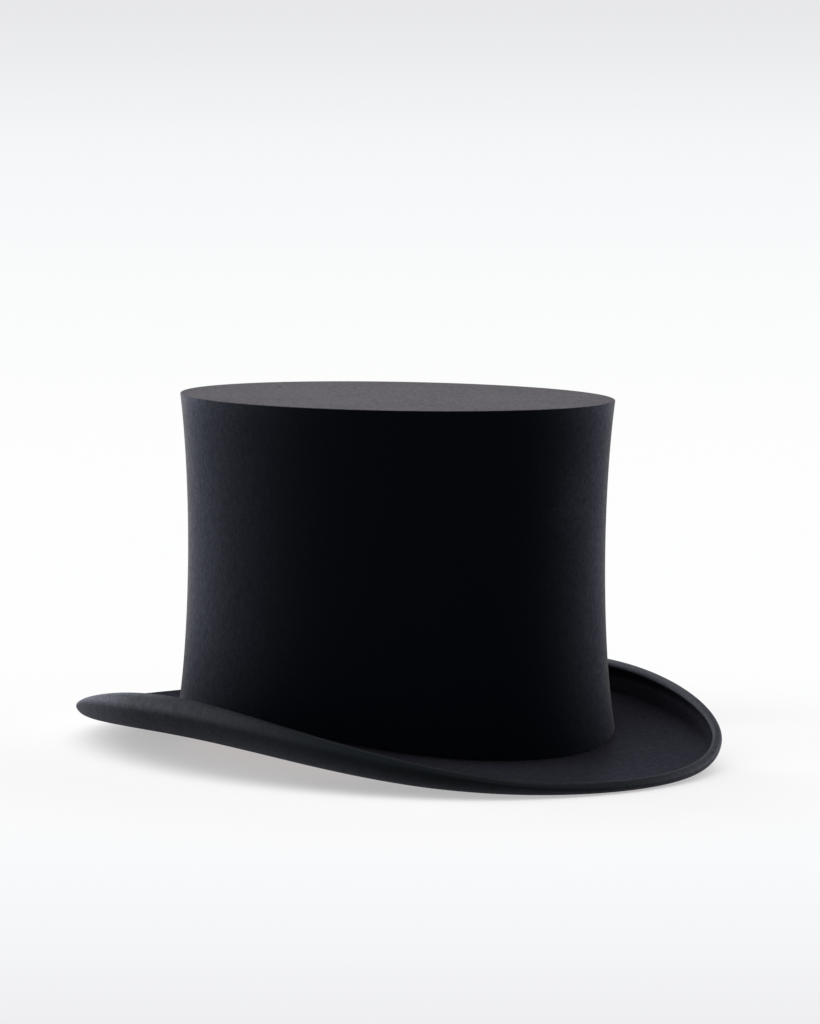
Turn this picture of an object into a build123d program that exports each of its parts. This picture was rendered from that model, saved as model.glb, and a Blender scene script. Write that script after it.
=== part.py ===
from build123d import *
import math
import os

# Formal top hat: a stiffened shell (crown side, crown tip and brim), covered
# with black felt outside and lined inside with satin and a leather sweatband.
# Frame: +Z up, z = 0 is the plane the brim stands on, -Y is the front of the
# hat, +X is the wearer's left. The main layers are symmetric about X = 0.
# Lengths in millimetres, angles in degrees. A section angle runs round the
# hat: 0 front, 90 left, 180 back. "off" is a distance inwards of the felt face
# of the crown.

# ---------------------------------------------------------------- crown form
BASE_HALF_LENGTH = 103.0    # over the felt
BASE_HALF_WIDTH = 87.0
TIP_HALF_LENGTH = 102.93
TIP_HALF_WIDTH = 84.78
HEIGHT = 151.8              # height of the tip above the standing plane
TIP_LEAN = -0.30            # y shift of the tip from the base, forwards
# change of both half axes at equal steps of height, base to tip
WAIST = (0.0, -2.69, -3.90, -4.22, -3.73, -2.42, -0.03)
TIP_BEVEL = 0.45            # bevel round the top edge of the side felt

# ---------------------------------------------------------------- brim form
BRIM_HALF_LENGTH = 158.97   # outline, before its third harmonic
BRIM_HALF_WIDTH = 119.25
BRIM_SHIFT = 0.27           # y shift of the outline, backwards
BRIM_SQUARE = -4.13         # third harmonic of the outline, along y
BRIM_T = 4.40               # thickness of the finished brim
BRIM_ROUND = 1.86           # rounding of both corners of the brim edge
# The rows below are cosine harmonics of the section angle, from order 0.
SEAT = (12.05, 1.58, -6.66, 0.0, 0.58)      # height of the brim top at the crown
SLOPE = (-0.26, -6.22, 1.39, 1.25)          # slope of the flat part, degrees
TURN = (76.45, 20.63, -49.75, -7.04, 2.53, -8.34)   # turn of the curl, degrees
CURL_RADIUS = (6.65, 1.66, -3.56, 0.22)     # outer radius of the curl
TURN_FLOOR = 2              # the turn levels out softly above this
TURN_SOFTNESS = 4
MIN_INNER_CURL = 0.6        # least radius of the upper face in the curl
MIN_FLAT = 1.0              # least length of the flat part

# ---------------------------------------------------------------- layers
GAP = 0.10                  # air between neighbouring layers
THIN_GAP = 0.05             # air where parts fit more closely
FELT = 1.10
CROWN_SHELL = 1.20
COLLAR = 0.80               # turned-up collar of the brim shell
COLLAR_H = 12.0             # height of the collar above the brim
SATIN = 0.30                # side lining
TIP_SATIN = 0.40            # tip lining
LEATHER = 0.80              # sweatband
TAPE = 0.20                 # tape round the reed and behind the seam

# crown wall stack: offs of the outer and inner face of each layer
SHELL_OUT = FELT + GAP
SHELL_IN = SHELL_OUT + CROWN_SHELL
COLLAR_OUT = SHELL_IN + GAP
COLLAR_IN = COLLAR_OUT + COLLAR
TAPE_OUT = COLLAR_IN + GAP
TAPE_IN = TAPE_OUT + TAPE
BAND_OUT = TAPE_IN + GAP
BAND_IN = BAND_OUT + LEATHER

# stack under the tip: heights, downwards
WADDING = 3.5               # pad over the tip lining
Z_TIP_SHELL = HEIGHT - FELT - GAP
Z_WADDING = Z_TIP_SHELL - CROWN_SHELL - GAP
Z_TIP_LINING = Z_WADDING - WADDING - GAP
Z_SIDE_LINING = Z_TIP_LINING - TIP_SATIN - GAP

# angles of the lofted sections, closer together next to the symmetry plane
HALF_ANGLES = [0, 1.5, 4, 8, 14, 21, *range(29, 152, 8), 159, 166, 172, 176, 178.5, 180]


# ---------------------------------------------------------------- form functions
def spread(start, end, steps):
    return [start + (end - start) * i / steps for i in range(steps + 1)]


def harmonics(coefficients, angle):
    return sum(c * math.cos(math.radians(k * angle)) for k, c in enumerate(coefficients))


def outward(angle):
    """Horizontal unit direction (x, y) at a section angle."""
    return math.sin(math.radians(angle)), -math.cos(math.radians(angle))


def waist(level):
    """Polynomial through WAIST at level 0 (base) to 1 (tip)."""
    last = len(WAIST) - 1
    total = 0.0
    for i, term in enumerate(WAIST):
        for j in range(last + 1):
            if j != i:
                term *= (level * last - j) / (i - j)
        total += term
    return total


def crown_ellipse(z, z_base, off):
    """Half width, half length and y shift of the crown at height z."""
    level = min(max((z - z_base) / (HEIGHT - z_base), 0.0), 1.0)
    bulge = waist(level)
    half_width = (BASE_HALF_WIDTH + bulge
                  + (TIP_HALF_WIDTH - BASE_HALF_WIDTH - WAIST[-1]) * level - off)
    half_length = (BASE_HALF_LENGTH + bulge
                   + (TIP_HALF_LENGTH - BASE_HALF_LENGTH - WAIST[-1]) * level - off)
    return half_width, half_length, TIP_LEAN * level


def seat(angle):
    """Height of the brim's upper surface where it meets the crown."""
    return harmonics(SEAT, angle)


def crown(angle, z, off):
    """Point of the crown wall."""
    half_width, half_length, shift = crown_ellipse(z, seat(angle), off)
    out_x, out_y = outward(angle)
    return (half_width * out_x, half_length * out_y + shift, z)


def wall(angle, off, z_start, z_end, steps):
    return [crown(angle, z, off) for z in spread(z_start, z_end, steps)]


def foot(angle, off):
    """Lower end of a crown layer, just clear of the brim's upper surface."""
    return seat(angle) - off * math.tan(math.radians(harmonics(SLOPE, angle))) + GAP


def oval(z, off):
    """Horizontal face that fills the crown at height z."""
    half_width, half_length, shift = crown_ellipse(z, SEAT[0], off)
    return Plane((0, shift, z)) * Ellipse(half_width, half_length)


def oval_disc(z_low, off_low, z_high, off_high):
    return loft([oval(z_low, off_low), oval(z_high, off_high)], ruled=True)


class Brim:
    """Radial section of the brim: a flat part, then a curl.

    Places are (s, n): s outwards along the underside, n above it.
    """

    def __init__(self, angle):
        self.out_x, self.out_y = outward(angle)
        self.base_x = BASE_HALF_WIDTH * self.out_x
        self.base_y = BASE_HALF_LENGTH * self.out_y
        reach_x = BRIM_HALF_WIDTH * self.out_x - self.base_x
        reach_y = (BRIM_HALF_LENGTH * self.out_y + BRIM_SHIFT
                   - BRIM_SQUARE * math.cos(math.radians(3 * angle)) - self.base_y)
        width = math.hypot(reach_x, reach_y)
        self.dir_x, self.dir_y = reach_x / width, reach_y / width
        self.seat = seat(angle)
        self.slope = math.radians(harmonics(SLOPE, angle))
        turn = (harmonics(TURN, angle) - TURN_FLOOR) / TURN_SOFTNESS
        turn = TURN_SOFTNESS * math.log1p(math.exp(turn)) + TURN_FLOOR
        self.tilt_end = self.slope + math.radians(turn)
        self.radius = max(harmonics(CURL_RADIUS, angle), BRIM_T + MIN_INNER_CURL)
        widest = min(self.tilt_end, math.pi / 2)
        curl_reach = self.radius * (math.sin(widest) - math.sin(self.slope))
        cap = BRIM_ROUND * math.cos(self.tilt_end) if self.tilt_end < math.pi / 2 else 0.0
        self.flat = max((width - curl_reach - cap) / math.cos(self.slope), MIN_FLAT)
        self.end = self.flat + self.radius * (self.tilt_end - self.slope)

    def radius_height(self, s, n):
        """Distance outwards from the crown base, and height."""
        sin_slope, cos_slope = math.sin(self.slope), math.cos(self.slope)
        start_r, start_z = BRIM_T * sin_slope, self.seat - BRIM_T * cos_slope
        if s <= self.flat:
            return (start_r + s * cos_slope - n * sin_slope,
                    start_z + s * sin_slope + n * cos_slope)
        tilt = min(self.slope + (s - self.flat) / self.radius, self.tilt_end)
        centre_r = start_r + self.flat * cos_slope - self.radius * sin_slope
        centre_z = start_z + self.flat * sin_slope + self.radius * cos_slope
        beyond = max(s - self.end, 0.0)
        return (centre_r + (self.radius - n) * math.sin(tilt) + beyond * math.cos(self.tilt_end),
                centre_z - (self.radius - n) * math.cos(tilt) + beyond * math.sin(self.tilt_end))

    def point(self, s, n):
        out, z = self.radius_height(s, n)
        if out >= 0:
            return (self.base_x + out * self.dir_x, self.base_y + out * self.dir_y, z)
        return (self.base_x + out * self.out_x, self.base_y + out * self.out_y, z)

    def around(self, s, n):
        """Placer of points relative to (s, n)."""
        return lambda ds, dn: self.point(s + ds, n + dn)

    def s_at_crown(self, off, n):
        """s at which the layer at n reaches the crown offset off."""
        return (-off - (BRIM_T - n) * math.sin(self.slope)) / math.cos(self.slope)

    def face(self, n, s_in, s_out, inwards=False):
        """Edges along one face of a layer: under the crown, flat, curl."""
        curl = [self.point(s, n) for s in spread(self.flat, s_out, 8)]
        under = [self.point(s_in, n)]
        flat = [self.point(self.s_at_crown(0, n), n)]
        if inwards:
            return [curl[::-1], [curl[0]], flat, under]
        return [under, flat, curl]


# ---------------------------------------------------------------- builders
def joined(solids):
    return solids[0] if len(solids) == 1 else Compound(children=list(solids))


def ring(section, angles=HALF_ANGLES, mirrored=True):
    """Loft closed sections round the hat.

    A section is a list of edges, each a list of points. An edge runs on to the
    start of the next; two points make a line and more make a spline.
    """
    wires = []
    for angle in angles:
        edges = []
        parts = section(angle)
        for i, points in enumerate(parts):
            following = parts[(i + 1) % len(parts)][0]
            points = list(points)
            if math.dist(points[-1], following) > 1e-9:
                points.append(following)
            if len(points) == 2:
                edges.append(Edge.make_line(*points))
            else:
                edges.append(Edge.make_spline([Vector(*p) for p in points],
                                              parameters=spread(0, 1, len(points) - 1)))
        wires.append(Wire(edges))
    half = Solid.make_loft(wires, False)
    if not mirrored:
        return half
    # a loft can come out inside out
    if half.volume < 0:
        half = Solid(half.wrapped.Reversed())
    whole = half.fuse(half.mirror(Plane.YZ))
    # fuse may return a list
    if isinstance(whole, (list, ShapeList)):
        whole = whole[0]
    return joined(whole.solids())


def arc(place, radius, start, end, steps=4):
    """Points on a circle, place(u, v) giving each point from the centre."""
    return [place(radius * math.cos(a), radius * math.sin(a))
            for a in map(math.radians, spread(start, end, steps))]


def split(points):
    """Two edges that share the middle point."""
    middle = len(points) // 2
    return [points[:middle + 1], points[middle:]]


def circle(place, radius):
    points = arc(place, radius, 0, 360, 24)
    points[-1] = points[0]
    return split(points)


def strip(angle, outer, inner, low, inner_low, high, steps):
    """Section of a crown wall layer between the offs outer and inner."""
    return [
        wall(angle, outer, low, high, steps),
        [crown(angle, high, outer)],
        wall(angle, inner, high, inner_low, steps),
        [crown(angle, inner_low, inner)],
    ]


def save(shape, name):
    shape.label = name
    export_step(shape, f"parts/{name}.step")


os.makedirs("parts", exist_ok=True)

# ---------------------------------------------------------------- felt covers
MITRE_GAP = 1.4 * GAP       # horizontal air in the mitre round the tip felt
OPENING_BEVEL = 0.4         # lower corner of the under felt at the head opening
LIP_OUTER_END = 88          # end angles of the lip's outer and inner arcs
LIP_INNER_END = 70


def crown_side_felt(angle):
    z_outer, z_inner = foot(angle, 0), foot(angle, FELT)
    return [
        wall(angle, 0, z_outer, HEIGHT - TIP_BEVEL, 10),
        [crown(angle, HEIGHT - TIP_BEVEL, 0)],
        [crown(angle, HEIGHT, TIP_BEVEL)],
        wall(angle, FELT, Z_TIP_SHELL, z_inner, 10),
        [crown(angle, z_inner, FELT)],
    ]


def upper_brim_felt(angle):
    brim = Brim(angle)
    low, high = BRIM_T - FELT, BRIM_T
    s_end = brim.end - THIN_GAP
    return [
        *brim.face(low, brim.s_at_crown(SHELL_IN, low), s_end),
        [brim.point(s_end, low)],
        *brim.face(high, brim.s_at_crown(SHELL_IN, high), s_end, inwards=True),
    ]


def under_brim_felt(angle):
    """Under felt, wrapped round the brim edge into a lip against the upper felt."""
    brim = Brim(angle)
    inner_round = BRIM_ROUND - FELT
    s_lip = brim.end + THIN_GAP
    lower = brim.around(brim.end, BRIM_ROUND)
    upper = brim.around(brim.end, BRIM_T - BRIM_ROUND)
    lip_top, lip_under = brim.point(s_lip, BRIM_T), brim.point(s_lip, BRIM_T - FELT)
    return [
        *brim.face(0, brim.s_at_crown(COLLAR_IN, 0) + OPENING_BEVEL, brim.end),
        arc(lower, BRIM_ROUND, -90, 0),
        [lower(BRIM_ROUND, 0)],
        arc(upper, BRIM_ROUND, 0, LIP_OUTER_END)[:-1] + [lip_top],
        [lip_top],
        [lip_under] + arc(upper, inner_round, LIP_INNER_END, 0)[1:],
        [upper(inner_round, 0)],
        arc(lower, inner_round, 0, -90),
        *brim.face(FELT, brim.s_at_crown(COLLAR_IN, FELT), brim.end, inwards=True),
        [brim.point(brim.s_at_crown(COLLAR_IN, OPENING_BEVEL), OPENING_BEVEL)],
    ]


save(ring(crown_side_felt), "crown_side_felt")
# the felt disc of the tip is mitred into the top edge of the side felt
save(oval_disc(HEIGHT - FELT, FELT + MITRE_GAP, HEIGHT, TIP_BEVEL + MITRE_GAP), "crown_tip_felt")
save(ring(upper_brim_felt), "upper_brim_felt")
save(ring(under_brim_felt), "under_brim_felt")

# ---------------------------------------------------------------- stiff shells
WIRE_R = 0.65               # wire in the brim edge
WIRE_INSET = 0.3            # wire centre, inwards of the end of the curl
JOINER_R = 0.95             # room for the sleeve over the wire ends
TIP_RIM_H = 8.0             # depth of the turned-down rim of the tip shell
TIP_RIM_OUT = COLLAR_OUT + 0.12
TIP_RIM_IN = COLLAR_IN + 0.1
COLLAR_START = 0.2          # start of the collar's straight wall above the seat
SHELL_BEVEL = 0.8           # lower corner of the shell at the head opening


def crown_side_shell(angle):
    return strip(angle, SHELL_OUT, SHELL_IN, foot(angle, SHELL_OUT), foot(angle, SHELL_IN),
                 Z_TIP_SHELL, 10)


def crown_tip_shell():
    z_low = Z_TIP_SHELL - CROWN_SHELL - TIP_RIM_H
    shell = oval_disc(z_low, TIP_RIM_OUT, Z_TIP_SHELL, TIP_RIM_OUT)
    shell -= oval_disc(z_low, TIP_RIM_IN, Z_TIP_SHELL - CROWN_SHELL, TIP_RIM_IN)
    return shell.solids()[0]


def brim_shell(angle):
    """Shell between the brim felts, with the collar turned up inside the crown."""
    brim = Brim(angle)
    low, high = FELT + GAP, BRIM_T - FELT - GAP
    s_end = brim.end - WIRE_INSET - JOINER_R - GAP
    s_low = brim.s_at_crown(COLLAR_IN, low)
    z_low = brim.radius_height(s_low, low)[1]
    z_collar, z_top = brim.seat + COLLAR_START, brim.seat + COLLAR_H
    return [
        *brim.face(low, s_low + SHELL_BEVEL, s_end),
        [brim.point(s_end, low)],
        *brim.face(high, brim.s_at_crown(COLLAR_OUT, high), s_end, inwards=True),
        *strip(angle, COLLAR_OUT, COLLAR_IN, z_collar, z_collar, z_top, 4),
        [crown(angle, z_low + SHELL_BEVEL, COLLAR_IN)],
    ]


save(ring(crown_side_shell), "crown_side_shell")
save(crown_tip_shell(), "crown_tip_shell")
save(ring(brim_shell), "brim_shell")

# ---------------------------------------------------------------- edge wire
WIRE_HALF_GAP = 0.15        # degrees from the back to each wire end
JOINER_L = 16.0
JOINER_BORE_R = WIRE_R + 0.06
JOINER_OUTER_R = JOINER_R - 0.04
SLIT_EDGES = (186, 534)     # angles of the sleeve's two edges, round its section


def wire_centre(angle):
    brim = Brim(angle)
    return brim.around(brim.end - WIRE_INSET, BRIM_T / 2)


def brim_wire(angle):
    return circle(wire_centre(angle), WIRE_R)


def wire_joiner(angle):
    """Sleeve folded round the wire, with its seam slit on the inner side."""
    place = wire_centre(angle)
    first, last = SLIT_EDGES
    outer = arc(place, JOINER_OUTER_R, first, last, 16)
    inner = arc(place, JOINER_BORE_R, last, first, 16)
    return [*split(outer), [outer[-1]], *split(inner), [inner[-1]]]


save(ring(brim_wire, HALF_ANGLES[:-1] + [180 - WIRE_HALF_GAP]), "brim_wire")
joiner_half = math.degrees(JOINER_L / 2 / BRIM_HALF_LENGTH)
joiner_angles = spread(180 - joiner_half, 180 + joiner_half, 8)
save(ring(wire_joiner, joiner_angles, mirrored=False), "wire_joiner")

# ---------------------------------------------------------------- crown lining
# offs of the pad's bottom, middle and top ovals
WADDING_OFFS = (COLLAR_IN + 2.6, COLLAR_IN + 0.5, COLLAR_IN + 0.8)
TIP_LINING_OFF = COLLAR_IN + 0.5
LINING_RISE = 2             # lower edge of the side lining above the collar
LINING_LOW_OFF = COLLAR_OUT + THIN_GAP
LINING_HIGH_OFF = COLLAR_IN + GAP + 0.65
PIPE_R = 0.9
PIPE_GAP = 0.25             # from the side lining to the piping


def tip_wadding():
    heights = (Z_WADDING - WADDING, Z_WADDING - WADDING * 0.5, Z_WADDING)
    return loft([oval(z, off) for z, off in zip(heights, WADDING_OFFS)], ruled=False)


def lining_low(angle):
    return seat(angle) + COLLAR_H + LINING_RISE


def lining_off(angle, z):
    low = lining_low(angle)
    level = (z - low) / (Z_SIDE_LINING - low)
    return LINING_LOW_OFF + (LINING_HIGH_OFF - LINING_LOW_OFF) * level * level


def side_lining(angle):
    heights = spread(lining_low(angle), Z_SIDE_LINING, 12)
    outer = [crown(angle, z, lining_off(angle, z)) for z in heights]
    inner = [crown(angle, z, lining_off(angle, z) + SATIN) for z in reversed(heights)]
    return [outer, [outer[-1]], inner, [inner[-1]]]


def lining_piping(angle):
    """Round cord inside the top edge of the side lining."""
    z_pipe = Z_SIDE_LINING - PIPE_R
    off = lining_off(angle, z_pipe) + SATIN + PIPE_R + PIPE_GAP
    x, y, z = crown(angle, z_pipe, off)
    out_x, out_y = outward(angle)
    return circle(lambda u, v: (x - u * out_x, y - u * out_y, z + v), PIPE_R)


save(tip_wadding(), "tip_wadding")
save(extrude(oval(Z_TIP_LINING - TIP_SATIN, TIP_LINING_OFF), TIP_SATIN), "tip_lining")
save(ring(side_lining), "side_lining")
save(ring(lining_piping), "lining_piping")

# ---------------------------------------------------------------- sweatband
BAND_H = 46.0               # top of the sweatband above the brim
REED_R = 0.55               # reed in the lower edge of the sweatband
REED_OFF = TAPE_IN + THIN_GAP + REED_R
REED_RISE = 1.6             # rises are measured above the brim's underside
TAPE_BORE_R = REED_R + THIN_GAP
TAPE_WRAP = -260            # how far the tape wraps round the reed
TAPE_RISE = REED_RISE + 6.0
BAND_RISE = REED_RISE + TAPE_BORE_R + TAPE + GAP
SEAM_ANGLES = (176.6, 183.4)
SEAM_LOW, SEAM_HIGH = 5.0, BAND_H - 2       # above the seat
LABEL_ANGLES = (194, 203.5)
LABEL_LOW, LABEL_HIGH = 16.0, 27.0          # above the seat
LABEL_T = 0.15
STITCHES = 120
STITCH_L = 3.1
STITCH_R = 0.15
STITCH_OFF = BAND_IN + STITCH_R + 0.195
STITCH_RISE = BAND_RISE + 2.2
STITCH_AIM = 0.2            # angle step that gives a stitch its direction


def risen(angle, off, rise):
    """Point of the crown wall, rise above the brim's underside."""
    return crown(angle, seat(angle) - BRIM_T + rise, off)


def reed_centre(angle):
    return lambda u, v: risen(angle, REED_OFF - u, REED_RISE + v)


def sweatband_leather(angle):
    low = seat(angle) - BRIM_T + BAND_RISE
    return strip(angle, BAND_OUT, BAND_IN, low, low, seat(angle) + BAND_H, 8)


def sweatband_reed(angle):
    return circle(reed_centre(angle), REED_R)


def reed_tape(angle):
    """Tape wrapped under the reed, with one end standing up behind the leather."""
    place = reed_centre(angle)
    outer = arc(place, TAPE_BORE_R + TAPE, 0, TAPE_WRAP, 12)
    inner = arc(place, TAPE_BORE_R, TAPE_WRAP, 0, 12)
    return [
        [risen(angle, TAPE_OUT, TAPE_RISE)],
        *split(outer),
        [outer[-1]],
        *split(inner),
        [inner[-1]],
        [risen(angle, TAPE_IN, TAPE_RISE)],
    ]


def patch(angles, low, high, outer, inner):
    """Thin piece on the wall between two angles; heights above the seat."""
    def section(angle):
        base = seat(angle)
        return strip(angle, outer, inner, base + low, base + low, base + high, 3)
    return ring(section, spread(*angles, 6), mirrored=False)


def stitch(angle):
    centre = Vector(*risen(angle, STITCH_OFF, STITCH_RISE))
    ahead = Vector(*risen(angle + STITCH_AIM, STITCH_OFF, STITCH_RISE))
    direction = (ahead - centre).normalized()
    start = centre - direction * (STITCH_L / 2)
    return Solid.make_cylinder(STITCH_R, STITCH_L, Plane(origin=start, z_dir=direction))


save(ring(sweatband_leather), "sweatband_leather")
save(ring(sweatband_reed), "sweatband_reed")
save(ring(reed_tape), "reed_tape")
# tape behind the closing seam of the leather at the back of the head
save(patch(SEAM_ANGLES, SEAM_LOW, SEAM_HIGH, TAPE_OUT, TAPE_IN), "sweatband_seam_tape")
# blank paper size ticket on the inner face of the leather
label_off = BAND_IN + THIN_GAP
save(patch(LABEL_ANGLES, LABEL_LOW, LABEL_HIGH, label_off, label_off + LABEL_T), "size_label")
# running stitch along the lower edge of the leather
stitches = [stitch(360 * (i + 0.5) / STITCHES) for i in range(STITCHES)]
save(Compound(children=stitches), "sweatband_stitching")

# ---------------------------------------------------------------- bow at the back
BOW_RISE = 9.0              # bow centre above the seat
BOW_STANDOFF = 1.4          # from the leather's inner face to the bow's plane
BOW_T = 1.5
TAIL_T = 0.5
KNOT_SIZE = (4.2, 5.0)
KNOT_ROUND = 1.2
KNOT_T = BOW_T + 1.0
# outlines of the +X loop and tail (x, height) from the bow centre
LOOP = [(0, 1.3), (4.5, 2.9), (9.5, 4.0), (12.0, 3.3), (12.6, 0.2), (12.0, -2.9),
        (9.5, -3.7), (4.5, -2.6), (0, -1.3)]
TAIL = [(0.0, -0.8), (2.2, -1.0), (8.2, -8.6), (6.2, -8.9), (4.2, -10.2), (0.0, -1.6),
        (0.0, -0.8)]


def sweatband_bow():
    """Flat satin bow on the closing seam: two loops and two tails under a knot."""
    bow_z = seat(180) + BOW_RISE
    bow_y = crown(180, bow_z, BAND_IN)[1] - BOW_STANDOFF
    plane = Plane(origin=(0, bow_y, bow_z), x_dir=(1, 0, 0), z_dir=(0, -1, 0))

    def pair(face, thickness):
        return (extrude(plane * face, thickness)
                + extrude(plane * mirror(face, Plane.YZ), thickness))

    loop_closing = Edge.make_line((*LOOP[-1], 0), (*LOOP[0], 0))
    bow = pair(make_face([*Polyline(*LOOP).edges(), loop_closing]), BOW_T)
    bow += pair(make_face(Polyline(*TAIL)), TAIL_T)
    bow += extrude(plane * RectangleRounded(*KNOT_SIZE, KNOT_ROUND), KNOT_T)
    return joined(bow.solids())


save(sweatband_bow(), "sweatband_bow")
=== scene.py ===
"""A black felt hat with a tall crown, a curled brim, a satin lining and a leather sweatband.

The hat stands upright on the floor at z = 0, centred on the Z axis. Its front faces -Y and its
long axis runs along Y. Sizes are millimetres, turned into metres where meshes are made;
materials, lights and floor work in metres.
"""

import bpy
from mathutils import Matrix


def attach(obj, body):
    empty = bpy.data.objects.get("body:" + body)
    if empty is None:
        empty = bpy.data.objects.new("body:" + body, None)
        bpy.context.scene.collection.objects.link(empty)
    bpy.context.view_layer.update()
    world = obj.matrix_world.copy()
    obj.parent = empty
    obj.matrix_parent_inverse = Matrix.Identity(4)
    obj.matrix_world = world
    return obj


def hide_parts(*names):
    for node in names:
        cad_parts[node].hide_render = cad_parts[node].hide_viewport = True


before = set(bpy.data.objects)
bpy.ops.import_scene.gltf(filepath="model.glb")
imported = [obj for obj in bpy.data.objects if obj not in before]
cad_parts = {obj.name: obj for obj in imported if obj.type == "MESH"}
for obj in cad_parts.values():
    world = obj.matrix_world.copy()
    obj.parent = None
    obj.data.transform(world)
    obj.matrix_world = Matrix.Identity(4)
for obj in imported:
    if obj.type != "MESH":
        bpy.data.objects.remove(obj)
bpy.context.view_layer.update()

import bmesh
import bpy
import math
import random
from mathutils import Matrix, Vector, noise

random.seed(7)
MM = 0.001

# ------------------------------------------------------------------ hat shape
# deg is a bearing round the hat in degrees, from the front (-Y) towards +X.
# Harmonics (c0, c1, ...) stand for the sum of ck * cos(k * deg).
HEAD_Y, HEAD_X = 103.0, 87.0        # half axes of the crown at its foot
TIP_Y, TIP_X = 102.93, 84.78        # half axes of the crown at its tip
HEIGHT = 151.8
TIP_LEAN = -0.30                    # shift of the tip along Y
# offset of the crown's side at equal steps of height, from foot to tip
WAIST = (0.0, -2.69, -3.90, -4.22, -3.73, -2.42, -0.03)
BRIM_Y, BRIM_X = 158.97, 119.25     # half axes of the brim's outline
BRIM_SHIFT = 0.27                   # shift of the outline along Y
BRIM_SQUARE = -4.13                 # third harmonic of the outline along Y
BRIM_T = 4.40
BRIM_ROUND = 1.86                   # radius of the brim's rounded edge
SEAT = (12.05, 1.58, -6.66, 0.0, 0.58)                  # height of the crown's foot
SLOPE = (-0.26, -6.22, 1.39, 1.25)                      # slope of the flat of the brim, degrees
TURN = (76.45, 20.63, -49.75, -7.04, 2.53, -8.34)       # turn of the curl, degrees
CURL_R = (6.65, 1.66, -3.56, 0.22)                      # outer radius of the curl

GAP = 0.10
FELT = 1.10
CROWN_SHELL = 1.20
COLLAR, COLLAR_H = 0.80, 12.0
WADDING = 3.5
SATIN, TIP_SATIN = 0.30, 0.40
LEATHER, BAND_H = 0.80, 46.0
TAPE = 0.20
REED_R, REED_Z = 0.55, 1.6

# depths of the layers' outer and inner faces, inwards from the crown's surface
SHELL_OUT = FELT + GAP
SHELL_IN = SHELL_OUT + CROWN_SHELL
COLLAR_OUT = SHELL_IN + GAP
COLLAR_IN = COLLAR_OUT + COLLAR
TAPE_OUT = COLLAR_IN + GAP
TAPE_IN = TAPE_OUT + TAPE
BAND_OUT = TAPE_IN + GAP
BAND_IN = BAND_OUT + LEATHER
FOLD_IN = REED_R + 0.05             # radii of the tape folded round the reed
FOLD_OUT = FOLD_IN + TAPE
REED_DEPTH = TAPE_OUT + FOLD_OUT


def steps(start, end, count):
    return [start + (end - start) * i / count for i in range(count + 1)]


def bearings(count):
    return [360.0 * i / count for i in range(count)]


def segments(full):
    return full


def clamp(value):
    return min(max(value, 0.0), 1.0)


def smoothstep(value):
    value = clamp(value)
    return value * value * (3 - 2 * value)


def bell(value, width):
    return math.exp(-(value / width) ** 2)


def noise_at(x, y, z):
    return noise.noise(Vector((x, y, z)))


def sin_cos(deg):
    return math.sin(math.radians(deg)), math.cos(math.radians(deg))


def harmonics(coefficients, deg):
    return sum(c * math.cos(math.radians(k * deg)) for k, c in enumerate(coefficients))


def waist(rise):
    """Polynomial through the WAIST stations, at rise 0 (foot) to 1 (tip)."""
    rise = clamp(rise)
    last = len(WAIST) - 1
    total = 0.0
    for i, value in enumerate(WAIST):
        term = value
        for j in range(last + 1):
            if j != i:
                term *= (rise * last - j) / (i - j)
        total += term
    return total


def seat(deg):
    return harmonics(SEAT, deg)


def foot(deg, depth):
    """Height of the brim's top at a depth inside the crown's surface."""
    return seat(deg) - depth * math.tan(math.radians(harmonics(SLOPE, deg)))


def crown(deg, z, depth):
    """Point at a depth inside the crown's surface."""
    base = seat(deg)
    rise = clamp((z - base) / (HEIGHT - base))
    bulge = waist(rise)
    half_y = HEAD_Y + bulge + (TIP_Y - HEAD_Y - WAIST[-1]) * rise - depth
    half_x = HEAD_X + bulge + (TIP_X - HEAD_X - WAIST[-1]) * rise - depth
    sin, cos = sin_cos(deg)
    return (half_x * sin, -half_y * cos + TIP_LEAN * rise, z)


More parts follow.
